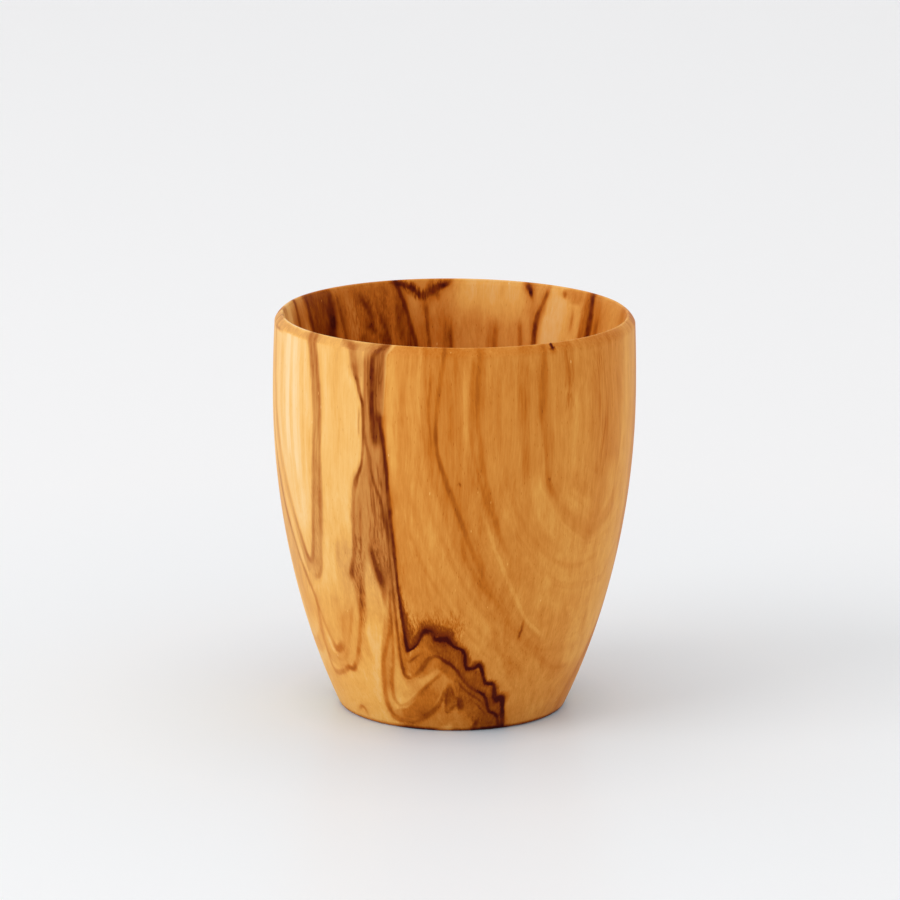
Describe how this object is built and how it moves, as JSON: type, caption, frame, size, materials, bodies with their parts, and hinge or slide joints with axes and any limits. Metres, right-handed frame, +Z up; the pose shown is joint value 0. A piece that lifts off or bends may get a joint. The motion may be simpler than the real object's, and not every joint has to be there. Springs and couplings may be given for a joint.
{
  "type": "wooden shot cup",
  "caption": "Small round drinking cup, turned and hollowed from solid olive wood, swelling from a narrow flat foot to a full belly below a thin bevelled lip.",
  "frame": {"origin": "centre of the flat underside, at table level", "axes": "+Z up along the turning axis, -Y towards the picture's viewer, +X to that viewer's right"},
  "size_m": [0.0542, 0.0542, 0.06],
  "materials": {
    "olive_wood": "oiled satin"
  },
  "bodies": {
    "root": {"turned_cup": "olive_wood"}
  },
  "joints": []
}
